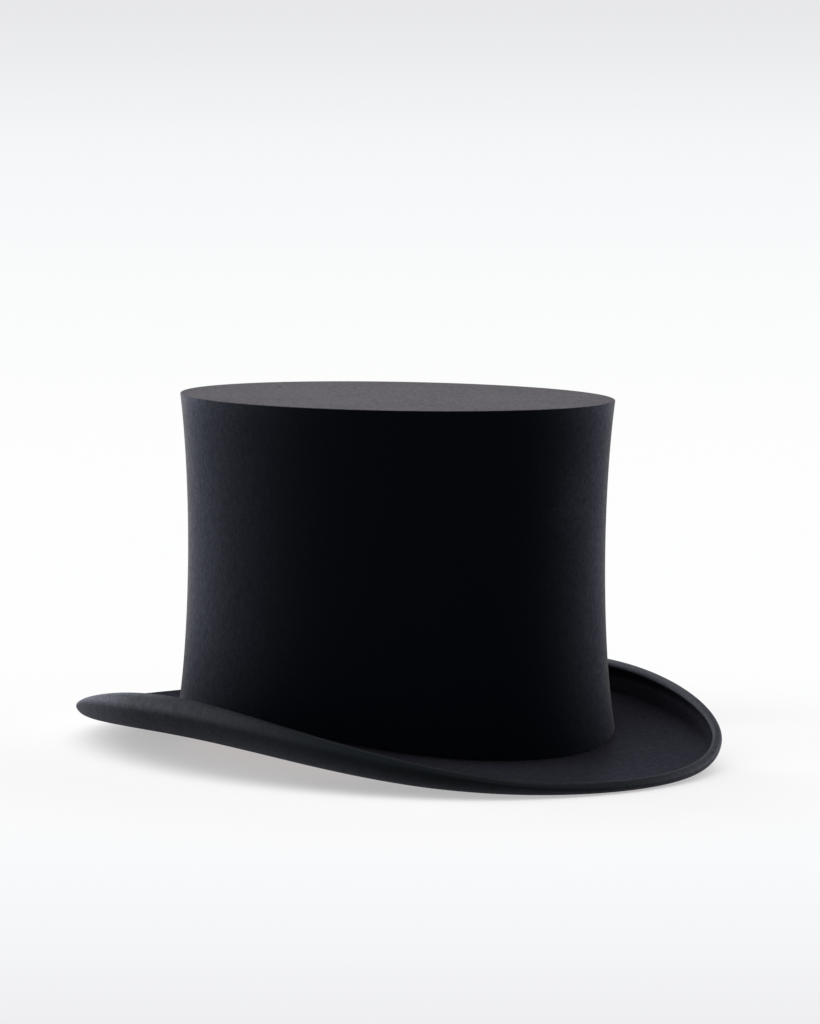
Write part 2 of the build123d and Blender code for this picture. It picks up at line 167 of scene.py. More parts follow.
class Brim:
    """Section of the brim at one bearing: a flat part, then a curl of constant radius.

    Its points are given by along, the distance outwards along the underside, and up, the
    height above the underside, 0 to BRIM_T."""

    def __init__(self, deg):
        self.sin, self.cos = sin_cos(deg)
        self.foot_x, self.foot_y = HEAD_X * self.sin, -HEAD_Y * self.cos
        edge_x = BRIM_X * self.sin
        edge_y = -BRIM_Y * self.cos + BRIM_SHIFT - BRIM_SQUARE * math.cos(math.radians(3 * deg))
        width = math.hypot(edge_x - self.foot_x, edge_y - self.foot_y)
        self.out_x = (edge_x - self.foot_x) / width
        self.out_y = (edge_y - self.foot_y) / width
        self.base = seat(deg)
        self.slope = math.radians(harmonics(SLOPE, deg))
        # a soft floor keeps the turn above 2 degrees
        turn = 4 * math.log1p(math.exp((harmonics(TURN, deg) - 2) / 4)) + 2
        self.edge_slope = self.slope + math.radians(turn)
        self.curl = max(harmonics(CURL_R, deg), BRIM_T + 0.6)
        reach = self.curl * (math.sin(min(self.edge_slope, math.pi / 2)) - math.sin(self.slope))
        cap = BRIM_ROUND * math.cos(self.edge_slope) if self.edge_slope < math.pi / 2 else 0.0
        self.flat = max((width - reach - cap) / math.cos(self.slope), 1.0)
        self.end = self.flat + self.curl * (self.edge_slope - self.slope)

    def profile(self, along, up):
        """Distance outwards from the crown's foot, and height."""
        sin, cos = math.sin(self.slope), math.cos(self.slope)
        start, start_z = BRIM_T * sin, self.base - BRIM_T * cos
        if along <= self.flat:
            return (start + along * cos - up * sin, start_z + along * sin + up * cos)
        slope = min(self.slope + (along - self.flat) / self.curl, self.edge_slope)
        centre = start + self.flat * cos - self.curl * sin
        centre_z = start_z + self.flat * sin + self.curl * cos
        out = centre + (self.curl - up) * math.sin(slope)
        z = centre_z - (self.curl - up) * math.cos(slope)
        extra = max(along - self.end, 0.0)
        return (out + extra * math.cos(self.edge_slope), z + extra * math.sin(self.edge_slope))

    def point(self, along, up):
        out, z = self.profile(along, up)
        if out >= 0:
            return (self.foot_x + out * self.out_x, self.foot_y + out * self.out_y, z)
        return (self.foot_x + out * self.sin, self.foot_y - out * self.cos, z)

    def inner(self, depth, up):
        """The along value at a depth inside the crown's surface."""
        return (-depth - (BRIM_T - up) * math.sin(self.slope)) / math.cos(self.slope)

    def line(self, start, end, count, up):
        return [self.point(along, up) for along in steps(start, end, count)]

    def arc(self, radius, centre_up, start, end, count):
        """Arc round a centre at the end of the curl, between two angles in degrees."""
        points = []
        for angle in steps(start, end, count):
            sin, cos = sin_cos(angle)
            points.append(self.point(self.end + radius * cos, centre_up + radius * sin))
        return points


# ------------------------------------------------------------------ meshes
# A shape is (vertices in mm, faces, UVs of each face's corners in metres or None).

def place(name, shape, material, node):
    """Make a shape into an object that replaces a CAD node."""
    verts, faces, uvs = shape
    mesh = bpy.data.meshes.new(name)
    mesh.from_pydata([(x * MM, y * MM, z * MM) for x, y, z in verts], [], faces)
    if uvs is not None:
        layer = mesh.uv_layers.new(name="UVMap")
        layer.data.foreach_set("uv", [c for face in uvs for corner in face for c in corner])
    mesh.validate()
    mesh.update()
    piece = bpy.data.objects.new(name, mesh)
    bpy.context.scene.collection.objects.link(piece)
    mesh.polygons.foreach_set("use_smooth", [True] * len(mesh.polygons))
    edit = bmesh.new()
    edit.from_mesh(mesh)
    bmesh.ops.recalc_face_normals(edit, faces=edit.faces)
    edit.to_mesh(mesh)
    edit.free()
    mesh.materials.append(material)
    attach(piece, "root")
    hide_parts(node)


def ring(section, degs, u_per_deg=2 * math.pi * 95.0 / 360):
    """A closed section carried round the hat: quads only, watertight.

    U runs round the hat at u_per_deg millimetres a degree, V along the section."""
    rows = [section(deg) for deg in degs]
    count, size = len(rows), len(rows[0])
    verts = [point for row in rows for point in row]
    run = [0.0]
    for k in range(1, size + 1):
        run.append(run[-1] + math.dist(rows[0][k - 1], rows[0][k % size]))
    ends = degs[1:] + [degs[0] + 360.0]
    faces, uvs = [], []
    for i in range(count):
        here, there = i * size, (i + 1) % count * size
        u0, u1 = degs[i] * u_per_deg * MM, ends[i] * u_per_deg * MM
        for k in range(size):
            l = (k + 1) % size
            v0, v1 = run[k] * MM, run[k + 1] * MM
            faces.append((here + k, there + k, there + l, here + l))
            uvs.append(((u0, v0), (u1, v0), (u1, v1), (u0, v1)))
    return verts, faces, uvs


def wrap_quads(first, second, count):
    """Quads between two closed loops of vertices that start at first and second."""
    return [(first + i, first + (i + 1) % count, second + (i + 1) % count, second + i)
            for i in range(count)]


def fan(first, count, centre):
    return [(first + i, first + (i + 1) % count, centre) for i in range(count)]


def flipped(faces):
    return [face[::-1] for face in faces]


# ------------------------------------------------------------------ shader graphs
class Graph:
    """A shader node tree. An input takes a number, a tuple or another node's socket."""

    def __init__(self, tree):
        self.tree = tree
        tree.nodes.clear()

    def node(self, kind, inputs=None, **settings):
        node = self.tree.nodes.new("ShaderNode" + kind)
        for key, value in settings.items():
            setattr(node, key, value)
        for key, value in (inputs or {}).items():
            self.feed(node.inputs[key], value)
        return node

    def feed(self, socket, value):
        if isinstance(value, bpy.types.NodeSocket):
            self.tree.links.new(value, socket)
        elif isinstance(value, tuple):      # colours get an alpha of 1
            socket.default_value = (*value, 1)[:len(socket.default_value)]
        else:
            socket.default_value = value

    def math(self, operation, *values, clamp=False):
        inputs = dict(enumerate(values))
        return self.node("Math", inputs, operation=operation, use_clamp=clamp).outputs[0]

    def add(self, first, second):
        return self.math("ADD", first, second)

    def sub(self, first, second):
        return self.math("SUBTRACT", first, second)

    def mul(self, first, second):
        return self.math("MULTIPLY", first, second)

    def mul_add(self, value, factor, addend):
        return self.math("MULTIPLY_ADD", value, factor, addend)

    def fade(self, value):
        """exp(-value)"""
        return self.math("EXPONENT", self.mul(value, -1.0))

    def hypot(self, first, second):
        total = self.add(self.mul(first, first), self.mul(second, second))
        return self.math("SQRT", total)

    def ellipse(self, x, y, half_x, half_y):
        """Distance from the centre as a share of an ellipse's radius."""
        return self.hypot(self.mul(x, 1 / half_x), self.mul(y, 1 / half_y))

    def map_range(self, value, low, high, to_low=0.0, to_high=1.0, kind="SMOOTHSTEP"):
        inputs = {"Value": value, "From Min": low, "From Max": high,
                  "To Min": to_low, "To Max": to_high}
        return self.node("MapRange", inputs, interpolation_type=kind).outputs[0]

    def ramp(self, factor, stops, interpolation="LINEAR", **settings):
        """Colour ramp; stops are (position, colour or grey value)."""
        node = self.node("ValToRGB", {0: factor}, **settings)
        elements = node.color_ramp.elements
        while len(elements) > 1:
            elements.remove(elements[-1])
        for i, (position, colour) in enumerate(stops):
            element = elements.new(position) if i else elements[0]
            element.position = position
            element.color = (*(colour if isinstance(colour, tuple) else (colour,) * 3), 1)
        node.color_ramp.interpolation = interpolation
        return node.outputs[0]

    def high_ramp(self, factor, stops, top):
        """Ramp of values between 0 and top."""
        return self.mul(self.ramp(factor, [(at, value / top) for at, value in stops]), top)

    def mix(self, factor, first, second, blend="MIX"):
        return self.node("Mix", {"Factor": factor, 6: first, 7: second},
                         data_type="RGBA", blend_type=blend).outputs[2]

    def vector(self, operation, *values):
        return self.node("VectorMath", dict(enumerate(values)), operation=operation)

    def xyz(self, vector):
        return self.node("SeparateXYZ", {0: vector}).outputs

    def object_position(self):
        return self.node("TexCoord").outputs["Object"]

    def scaled(self, vector, scale):
        return self.node("Mapping", {"Vector": vector, "Scale": scale}).outputs[0]

    def noise(self, vector, scale, detail, roughness=0.5):
        inputs = {"Vector": vector, "Scale": scale, "Detail": detail, "Roughness": roughness}
        return self.node("TexNoise", inputs).outputs["Fac"]

    def cell_edges(self, vector, scale):
        return self.node("TexVoronoi", {"Vector": vector, "Scale": scale},
                         feature="DISTANCE_TO_EDGE").outputs["Distance"]

    def bump(self, height, strength, distance):
        inputs = {"Height": height, "Strength": strength, "Distance": distance}
        return self.node("Bump", inputs).outputs["Normal"]

    def surface(self, node):
        self.node("OutputMaterial", {"Surface": node.outputs[0]})

    def principled(self, colour, roughness, **inputs):
        """Principled surface; an input's name is written with _ for each space."""
        named = {key.replace("_", " "): value for key, value in inputs.items()}
        named |= {"Base Color": colour, "Roughness": roughness}
        self.surface(self.node("BsdfPrincipled", named))


def new_material(name):
    material = bpy.data.materials.new(name)
    material.use_nodes = True
    return material, Graph(material.node_tree)


# ------------------------------------------------------------------ felt
# fibre grain: noise scale, detail, roughness, contrast
FELT_GRAIN = (
    (1350.0, 3.0, 0.70, 1.70),
    (420.0, 4.0, 0.60, 1.00),
    (28.0, 3.0, 0.55, 0.26),
)
# a patch low contrast above the rest, near the front: place, half widths, added brightness
LIGHT_PATCH = dict(centre=(0.0100, -0.0989, 0.1105), wide=0.0105, tall=0.013, lift=0.34)
LINE_DROP, LINE_WIDTH = 0.0006, 0.0011      # below the patch's centre; its half width
# LIFT_TOP bounds the ramps of painted light and shade by tilt and by bearing
LIFT_TOP = 8.0                                  # largest lift a tilt or bearing ramp can give


def fibre_grain(graph):
    """Grain of short fibres; returns its product and the single noises."""
    position = graph.scaled(graph.object_position(), (1.0, 1.0, 0.75))
    noises, factors = [], []
    for scale, detail, roughness, contrast in FELT_GRAIN:
        noises.append(graph.noise(position, scale, detail, roughness))
        factors.append(graph.mul_add(noises[-1], contrast, 1 - 0.5 * contrast))
    return graph.mul(graph.mul(factors[0], factors[1]), factors[2]), noises


def light_patch(graph, nap, mottle, centre, wide, tall, lift):
    """A lighter patch, crossed by a faint lighter line."""
    position = graph.xyz(graph.object_position())
    squares = []
    for coordinate, middle, radius in zip(position, centre, (wide, wide, tall)):
        away = graph.mul(graph.sub(coordinate, middle), 1.0 / radius)
        squares.append(graph.mul(away, away))
    patch = graph.fade(graph.add(graph.add(squares[0], squares[1]), squares[2]))
    patch = graph.mul(patch, graph.mul_add(mottle, 1.2, 0.4))
    away = graph.mul(graph.sub(position[2], centre[2] - LINE_DROP), 1.0 / LINE_WIDTH)
    light_line = graph.mul(graph.fade(graph.mul(away, away)), patch)
    patch_lift = graph.mul_add(patch, lift, 1.0)
    return graph.mul(nap, graph.mul_add(light_line, lift * 0.45, patch_lift))


def by_bearing(stops, top=1.0):
    return [((deg + 180) / 360, value / top) for deg, value in stops]


def crook_shade(graph, x, y, bearing, depths, width):
    """Painted shade that fades outwards from the crown's foot."""
    share = graph.ellipse(x, y, HEAD_X * MM, HEAD_Y * MM)
    radius = graph.math("DIVIDE", graph.ellipse(x, y, 1.0, 1.0), share)
    away = graph.math("MAXIMUM", graph.mul(graph.sub(share, 1.0), radius), 0.0)
    fall = graph.math("EXPONENT", graph.mul(away, -1.0 / width))
    return graph.sub(1.0, graph.mul(fall, graph.ramp(bearing, by_bearing(depths))))


def painted_edge_shading(graph, normal_z, bearing, stops):
    """Painted light and shade on the faces at the top of the rolled edge, by bearing."""
    top = graph.map_range(normal_z, 0.42, 0.80)
    top_shading = graph.ramp(bearing, by_bearing(stops, LIFT_TOP))
    return graph.mul_add(graph.mul_add(top_shading, LIFT_TOP, -1.0), top, 1.0)


def painted_brim_shading(graph, nap, tilt_shading, bearing_shading, crook_shading, edge):
    """Painted light and shade on the brim's felt: nap and core raised or lowered by slope and
    bearing.
    """
    normal_z = graph.xyz(graph.node("NewGeometry").outputs["Normal"])[2]
    tilt_stops = [((z + 1) / 2, value) for z, value in tilt_shading]
    core_shading = graph.high_ramp(graph.mul_add(normal_z, 0.5, 0.5), tilt_stops, LIFT_TOP)
    nap = graph.mul(nap, core_shading)
    x, y, _ = graph.xyz(graph.object_position())
    bearing = graph.math("ARCTAN2", x, graph.mul(y, -1.0))
    bearing = graph.mul_add(bearing, 0.5 / math.pi, 0.5)
    lift = graph.high_ramp(bearing, by_bearing(bearing_shading), LIFT_TOP)
    if crook_shading:
        lift = graph.mul(lift, crook_shade(graph, x, y, bearing, **crook_shading))
    if edge:
        lift = graph.mul(lift, painted_edge_shading(graph, normal_z, bearing, edge))
    return graph.mul(nap, lift), graph.mul(core_shading, lift)


def felt_material(name, core, soft, sheen, core_tint, nap_tint, rough=0.5, grain=1.0,
                  patch=None, limb=None, height_shading=None,
                  tilt_shading=None, bearing_shading=None, crook_shading=None, edge=None):
    """Black felt: a very dark core, and a nap whose fibre tips catch light at grazing angles.

    core: reflectance seen straight on
    soft, sheen: nap that scatters every way, and nap that throws light onward
    grain: contrast of the fibre grain
    patch: a lighter patch, as in LIGHT_PATCH
    limb: tint of the nap where the cloth turns away
    height_shading: (height in mm, nap), painted shade low on the crown by the brim and painted
    light near the tip
    tilt_shading: (z of the normal, nap and core), from faces that look down to faces that look up,
    painted light and shade
    bearing_shading: (bearing in degrees, nap and core), painted light and shade round the brim, for
    brim felt together with tilt_shading
    crook_shading: painted shade (bearing, depth) in the angle of brim and crown, and its width in
    metres
    edge: (bearing, nap and core), painted light and shade along the top of the rolled edge"""
    material, graph = new_material(name)
    facing = graph.node("LayerWeight", {"Blend": 0.5}).outputs["Facing"]
    nap, (fine, middle, _) = fibre_grain(graph)
    if grain != 1.0:
        nap = graph.math("MAXIMUM", graph.mul_add(nap, grain, 1.0 - grain), 0.05)
    if patch:
        nap = light_patch(graph, nap, middle, **patch)
    core_colour, soft_colour, sheen_colour = (
        tuple(amount * channel for channel in tint)
        for amount, tint in ((core, core_tint), (soft, nap_tint), (sheen, nap_tint)))
    if tilt_shading:
        nap, core_shading = painted_brim_shading(graph, nap, tilt_shading, bearing_shading, crook_shading, edge)
        core_colour = graph.mix(1.0, core_colour, core_shading, "MULTIPLY")
    if height_shading:
        height = graph.mul(graph.xyz(graph.object_position())[2], 1 / 0.16)
        stops = [(z / 160.0, value) for z, value in height_shading]
        nap = graph.mul(nap, graph.high_ramp(height, stops, 2.0))
    if limb:
        limb_colour = tuple(soft * channel for channel in limb)
        soft_colour = graph.mix(graph.map_range(facing, 0.66, 0.94), soft_colour, limb_colour)
    squared = graph.math("POWER", facing, 2.0)
    cubed = graph.math("POWER", facing, 3.0)
    soft_nap = graph.mix(graph.mul(cubed, nap), (0, 0, 0), soft_colour)
    bump = graph.bump(graph.add(graph.mul(fine, 0.6), middle), strength=0.35, distance=0.00012)
    diffuse = graph.node("BsdfDiffuse", {
        "Color": graph.mix(1.0, core_colour, soft_nap, "ADD"), "Roughness": 1.0, "Normal": bump})
    gloss = graph.node("BsdfAnisotropic", {
        "Color": graph.mix(graph.mul(squared, nap), (0, 0, 0), sheen_colour),
        "Roughness": rough, "Normal": bump})
    graph.surface(graph.node("AddShader", {0: diffuse.outputs[0], 1: gloss.outputs[0]}))
    return material


# The four felts are one black felt: their core and nap strengths differ piece by piece to match the
# light on each piece, which is painted light and shade.
felt_side = felt_material(
    "black_felt_side", core=0.0034, soft=0.132, sheen=0.0215,
    core_tint=(0.78, 1.02, 1.55), nap_tint=(0.94, 0.985, 1.27),
    patch=LIGHT_PATCH, limb=(1.30, 1.27, 1.31),
    # nap by height: painted shade low on the crown by the brim, painted light towards the tip
    height_shading=[(0, 0.66), (14, 0.62), (25, 0.68), (38, 0.80), (54, 0.94), (72, 1.0),
            (132, 1.02), (142, 1.10), (148, 1.28), (151.5, 1.5)])
felt_tip = felt_material(
    "black_felt_tip", core=0.0036, soft=0.0050, sheen=0.1490,
    core_tint=(0.90, 1.0, 1.25), nap_tint=(1.03, 0.984, 1.074), grain=1.5)
felt_upper = felt_material(
    "black_felt_upper", core=0.0036, soft=0.0270, sheen=0.0310,
    core_tint=(0.90, 1.0, 1.30), nap_tint=(0.967, 0.975, 1.32), rough=0.42,
    # painted light and shade by how far a face looks up or down and by bearing round the brim, and
    # painted shade in the angle of brim and crown
    tilt_shading=[(-1.0, 2.8), (0.05, 2.8), (0.40, 1.25), (0.70, 0.80), (0.95, 0.85), (1.0, 1.12)],
    bearing_shading=[(-180, 0.8), (-90, 0.95), (-45, 1.27), (-24, 1.14), (-12, 1.07), (6, 0.90),
            (18, 0.98), (30, 0.97), (42, 0.84), (54, 0.58), (66, 0.47), (80, 0.46),
            (110, 0.6), (180, 0.8)],
    crook_shading=dict(
        depths=[(-180, 0.5), (-90, 0.8), (-42, 0.92), (-18, 0.80), (-6, 0.62), (6, 0.42),
                (18, 0.28), (42, 0.15), (60, 0.10), (110, 0.35), (180, 0.5)],
        width=0.012))
felt_under = felt_material(
    "black_felt_under", core=0.0082, soft=0.0070, sheen=0.1080,
    core_tint=(0.84, 1.03, 1.20), nap_tint=(0.977, 0.99, 1.17), rough=0.42,
    # painted light and shade by how far a face looks up or down and by bearing, and painted light
    # and shade along the top of the rolled edge
    tilt_shading=[(-1.0, 0.62), (-0.45, 0.85), (-0.20, 0.95), (-0.07, 1.10), (0.04, 1.65), (0.17, 2.1),
          (0.4, 1.85), (0.6, 1.5), (0.78, 1.2), (0.9, 1.08), (1.0, 0.95)],
    bearing_shading=[(-180, 1.1), (-125, 0.98), (-103, 0.64), (-85, 0.70), (-60, 1.0), (-20, 1.08),
            (5, 1.0), (30, 0.90), (45, 0.95), (62, 1.6), (90, 1.7), (115, 1.5), (180, 1.1)],
    edge=[(-180, 1.3), (-125, 2.0), (-103, 2.4), (-90, 1.35), (-78, 0.92), (-62, 0.68),
          (-50, 1.0), (-38, 1.12), (-20, 0.85), (0, 0.78), (15, 1.08), (32, 1.2), (48, 1.4),
          (62, 1.45), (90, 1.45), (120, 1.6), (180, 1.3)])


# ------------------------------------------------------------------ other materials
def satin_weave(graph, uv, rows, slant=0.25, turn=6.283):
    """Height of a satin weave: long floats along U, rows (a metre) along V."""
    along, across, _ = graph.xyz(uv)
    along, across = graph.mul(along, rows / 3), graph.mul(across, rows)
    row = graph.math("FLOOR", across)
    phase = graph.mul_add(row, slant * turn, graph.mul(along, turn))
    floats = graph.math("SINE", phase)
    return graph.mul_add(floats, 0.35, graph.math("SINE", graph.mul(across, turn)))


def satin_material(name, light, dark, rough, rows):
    material, graph = new_material(name)
    uv = graph.node("UVMap", uv_map="UVMap").outputs[0]
    weave = satin_weave(graph, uv, rows)
    clouds = graph.noise(graph.object_position(), scale=45.0, detail=4.0)
    slub = graph.noise(graph.scaled(uv, (120, 1500, 1)), scale=1.0, detail=2.0)
    colour = graph.ramp(clouds, [(0.3, dark), (0.7, light)])
    colour = graph.mix(graph.mul(slub, 0.25), colour, dark)
    graph.principled(
        colour, rough, Anisotropic=0.6, Sheen_Weight=0.25, Sheen_Roughness=0.35,
        Specular_IOR_Level=0.5,
        Normal=graph.bump(graph.add(weave, slub), strength=0.3, distance=0.00004))
    return material


def leather_material(name):
    material, graph = new_material(name)
    position = graph.object_position()
    warp = graph.node("TexNoise", {"Vector": position, "Scale": 300.0, "Detail": 2.0})
    warped = graph.vector("MULTIPLY_ADD", warp.outputs["Color"], (0.0012,) * 3, position)
    cells = graph.cell_edges(warped.outputs[0], 1450.0)
    creases = graph.cell_edges(warped.outputs[0], 620.0)
    patches = graph.noise(position, scale=26.0, detail=5.0, roughness=0.6)
    wrinkles = graph.noise(position, scale=60.0, detail=6.0, roughness=0.7)
    colour = graph.ramp(patches, [(0.28, (0.20, 0.082, 0.030)), (0.5, (0.33, 0.150, 0.062)),
                                  (0.74, (0.43, 0.215, 0.095))])
    pores = graph.math("MULTIPLY", cells, 3.0, clamp=True)
    in_pore = graph.math("SUBTRACT", 0.45, pores, clamp=True)
    colour = graph.mix(in_pore, colour, (0.11, 0.045, 0.018))
    relief = graph.add(graph.mul(creases, 0.8), graph.mul(wrinkles, 1.2))
    relief = graph.add(graph.mul(pores, 0.6), relief)
    graph.principled(colour, graph.mul_add(patches, 0.22, 0.36), Specular_IOR_Level=0.42,
                     Normal=graph.bump(relief, strength=0.45, distance=0.00014))
    return material


def plain_weave(name, dark, light, scale, rough, depth=0.00006):
    """Cloth, tape, thread, wadding or cane: a plain weave with fibre variation."""
    material, graph = new_material(name)
    position = graph.object_position()
    waves = [graph.math("SINE", graph.mul(axis, scale)) for axis in graph.xyz(position)]
    weave = graph.mul(graph.add(waves[0], waves[1]), waves[2])
    fibres = graph.noise(position, scale=380.0, detail=5.0)
    shade = graph.math("MULTIPLY_ADD", weave, 0.12, fibres, clamp=True)
    graph.principled(graph.ramp(shade, [(0.25, dark), (0.75, light)]), rough,
                     Normal=graph.bump(graph.add(weave, fibres), strength=0.5, distance=depth))
    return material


def metal_material(name, colour, rough):
    material, graph = new_material(name)
    mottle = graph.noise(graph.object_position(), scale=900.0, detail=4.0)
    dark = tuple(channel * 0.7 for channel in colour)
    graph.principled(graph.ramp(mottle, [(0.3, dark), (0.7, colour)]),
                     graph.mul_add(mottle, 0.25, rough), Metallic=1.0)
    return material


def paper_material(name):
    material, graph = new_material(name)
    position = graph.object_position()
    fibres = graph.noise(position, scale=1500.0, detail=6.0)
    clouds = graph.noise(position, scale=110.0, detail=4.0)
    graph.principled(graph.ramp(clouds, [(0.3, (0.70, 0.63, 0.47)), (0.7, (0.86, 0.82, 0.70))]),
                     0.8, Normal=graph.bump(fibres, strength=0.3, distance=0.00003))
    return material


satin = satin_material("ivory_satin", light=(0.80, 0.755, 0.655), dark=(0.73, 0.68, 0.57),
                       rough=0.27, rows=3600.0)
satin_dark = satin_material("black_satin", light=(0.020, 0.020, 0.024),
                            dark=(0.010, 0.010, 0.012), rough=0.28, rows=2800.0)
leather = leather_material("tan_leather")
shell_cloth = plain_weave("stiffened_cloth", dark=(0.16, 0.10, 0.045), light=(0.40, 0.28, 0.14),
                          scale=3200.0, rough=0.45, depth=0.00010)
tape_cloth = plain_weave("waxed_tape", dark=(0.035, 0.024, 0.016), light=(0.11, 0.075, 0.05),
                         scale=5200.0, rough=0.6)
thread = plain_weave("linen_thread", dark=(0.50, 0.41, 0.26), light=(0.78, 0.69, 0.50),
                     scale=9000.0, rough=0.7)
wadding = plain_weave("cotton_wadding", dark=(0.62, 0.58, 0.50), light=(0.88, 0.86, 0.80),
                      scale=900.0, rough=0.95, depth=0.0004)
reed = plain_weave("cane_reed", dark=(0.42, 0.30, 0.14), light=(0.68, 0.54, 0.31),
                   scale=1500.0, rough=0.5)
paper = paper_material("blank_paper")
steel = metal_material("spring_steel", colour=(0.42, 0.42, 0.43), rough=0.28)
soft_metal = metal_material("soft_metal", colour=(0.70, 0.70, 0.72), rough=0.32)

# CAD pieces that keep their own mesh
CAD_MATERIALS = {
    "crown_side_shell": shell_cloth,
    "crown_tip_shell": shell_cloth,
    "brim_shell": shell_cloth,
    "brim_wire": steel,
    "wire_joiner": soft_metal,
    "tip_wadding": wadding,
    "sweatband_reed": reed,
    "sweatband_seam_tape": tape_cloth,
}


def dress_cad_pieces():
    for node, material in CAD_MATERIALS.items():
        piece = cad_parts[node]
        if not piece.material_slots:
            piece.data.materials.append(material)
        for slot in piece.material_slots:
            slot.material = material


# ------------------------------------------------------------------ felt covers
FELT_SEGMENTS = segments(480)
SHOULDER_R = 0.55           # rounding where the side meets the tip


def shoulder(angle):
    """Depth and height on the shoulder, from 0 degrees at the side to 90 on top."""
    sin, cos = sin_cos(angle)
    return SHOULDER_R - SHOULDER_R * cos, HEIGHT - SHOULDER_R + SHOULDER_R * sin


def crown_side_section(deg):
    bottom, inner_bottom = foot(deg, 0) + 0.02, foot(deg, FELT) + 0.05
    inner_top = HEIGHT - FELT - 0.05
    # soft lower edge resting on the brim
    points = [crown(deg, bottom + 0.28, 0.0)]
    points += [crown(deg, z, 0.0) for z in steps(bottom + 0.9, HEIGHT - 1.4, 84)]
    for i in range(6):
        depth, z = shoulder(i * 9.0)
        points.append(crown(deg, z, depth))
    points.append(crown(deg, inner_top, FELT))
    points += [crown(deg, z, FELT) for z in steps(inner_top - 1.5, inner_bottom + 0.6, 24)]
    points.append(crown(deg, inner_bottom, FELT - 0.02))
    points.append(crown(deg, bottom, 0.24))
    return points


def tip_oval(count, depth, z, share=1.0):
    """Loop at a depth inside the tip's outline, shrunk to a share of its size."""
    loop = []
    for deg in bearings(count):
        sin, cos = sin_cos(deg)
        loop.append(((TIP_X - depth) * sin * share,
                     -(TIP_Y - depth) * cos * share + TIP_LEAN, z))
    return loop


def tip_disc(count):
    """Flat felt oval with a soft shoulder, mitred into the side cloth."""
    bottom = HEIGHT - FELT
    loops = [tip_oval(count, FELT + 0.05, bottom)]
    loops += [tip_oval(count, *shoulder(46 + i * 11.0)) for i in range(5)]
    for share in (0.9935, 0.985, 0.96, 0.93, 0.89, 0.84, 0.78, 0.71, 0.63, 0.54, 0.44, 0.33,
                  0.22, 0.12, 0.05):
        loops.append(tip_oval(count, SHOULDER_R, HEIGHT, share))
    verts = [point for loop in loops for point in loop]
    faces = []
    last = (len(loops) - 1) * count
    for first in range(0, last, count):
        faces += wrap_quads(first, first + count, count)
    faces += fan(last, count, len(verts))
    verts.append((0, TIP_LEAN, HEIGHT))
    # underside
    previous = 0
    for share in (0.93, 0.7, 0.4, 0.1):
        current = len(verts)
        verts += tip_oval(count, FELT, bottom, share)
        faces += wrap_quads(current, previous, count)
        previous = current
    faces += flipped(fan(previous, count, len(verts)))
    verts.append((0, TIP_LEAN, bottom))
    return verts, faces, None


def upper_brim_section(deg):
    brim = Brim(deg)
    low, high = BRIM_T - FELT, BRIM_T
    edge = brim.end - 0.02
    points = brim.line(brim.inner(SHELL_IN, high), brim.flat, 26, high)
    points += brim.line(brim.flat, edge - 0.12, 26, high)[1:]
    points.append(brim.point(edge, high - 0.10))
    points.append(brim.point(edge, low + 0.05))
    points += brim.line(edge - 0.12, brim.flat, 14, low)
    points += brim.line(brim.flat, brim.inner(SHELL_IN, low), 12, low)[1:]
    return points


def under_brim_section(deg):
    """Cloth under the brim, rolled over its edge to meet the upper cloth."""
    brim = Brim(deg)
    outer_r, inner_r = BRIM_ROUND, BRIM_ROUND - FELT
    upper_centre = BRIM_T - outer_r
    edge = brim.end + 0.02
    points = brim.line(brim.inner(COLLAR_IN, 0) + 0.45, brim.flat, 26, 0)
    points += brim.line(brim.flat, brim.end, 26, 0)[1:]
    points += brim.arc(outer_r, outer_r, -90, 0, 8)[1:]
    points += brim.arc(outer_r, upper_centre, 0, 90, 8)[:-1]
    points.append(brim.point(edge + 0.12, BRIM_T - 0.012))
    points.append(brim.point(edge, BRIM_T - 0.10))
    points.append(brim.point(edge, BRIM_T - FELT + 0.03))
    points += brim.arc(inner_r, upper_centre, 90, 0, 4)[1:]
    points += brim.arc(inner_r, outer_r, 0, -90, 4)
    points += brim.line(brim.end, brim.flat, 14, FELT)[1:]
    points += brim.line(brim.flat, brim.inner(COLLAR_IN, FELT), 12, FELT)[1:]
    points.append(brim.point(brim.inner(COLLAR_IN, 0.45), 0.45))
    points.append(brim.point(brim.inner(COLLAR_IN, 0.15) + 0.15, 0.15))
    return points


# ------------------------------------------------------------------ satin lining
TIP_LINING_Z = HEIGHT - FELT - CROWN_SHELL - WADDING - 3 * GAP
LINING_TOP = TIP_LINING_Z - TIP_SATIN - GAP
LINING_START = COLLAR_H + 2         # above the seat
PIPE_R = 0.9
PIPE_Z = LINING_TOP - PIPE_R
PLEATS = 54


def lining_rise(deg, z):
    low = seat(deg) + LINING_START
    return (z - low) / (LINING_TOP - low)


def lining_depth(deg, z):
    rise = clamp(lining_rise(deg, z))
    start = COLLAR_OUT + 0.05
    return start + (COLLAR_IN + GAP + 0.65 - start) * rise * rise


def fold(deg, z, seed, frequency):
    """Irregular gathers round the crown: 0 to 1, with sharp crests."""
    sin, cos = sin_cos(deg)
    x, y = cos * frequency, sin * frequency
    broad = noise_at(x + seed, y, z * 0.012)
    fine = noise_at(x * 2.3, y * 2.3 - seed, z * 0.03)
    return 1.0 - min(abs(broad * 0.75 + fine * 0.35) * 2.6, 1.0)


def pleat(deg, seed=0.0):
    """Knife pleats of uneven width and depth round the crown: slow rise, quick fall, 0 to 1."""
    sin, cos = sin_cos(deg)
    phase = (PLEATS * ((deg % 360.0) / 360.0)
             + 0.85 * noise_at(cos * 3.1 + seed, sin * 3.1, 0.7)
             + 0.45 * noise_at(cos * 9.0, sin * 9.0 + seed, 3.3))
    whole = math.floor(phase)
    part = phase - whole
    index = whole % PLEATS
    deep = 0.62 + 0.38 * math.sin(2.4 * index + 1.7 * math.sin(1.3 * index) + seed)
    return deep * part ** 0.75 * (1.0 - smoothstep((part - 0.74) / 0.26))


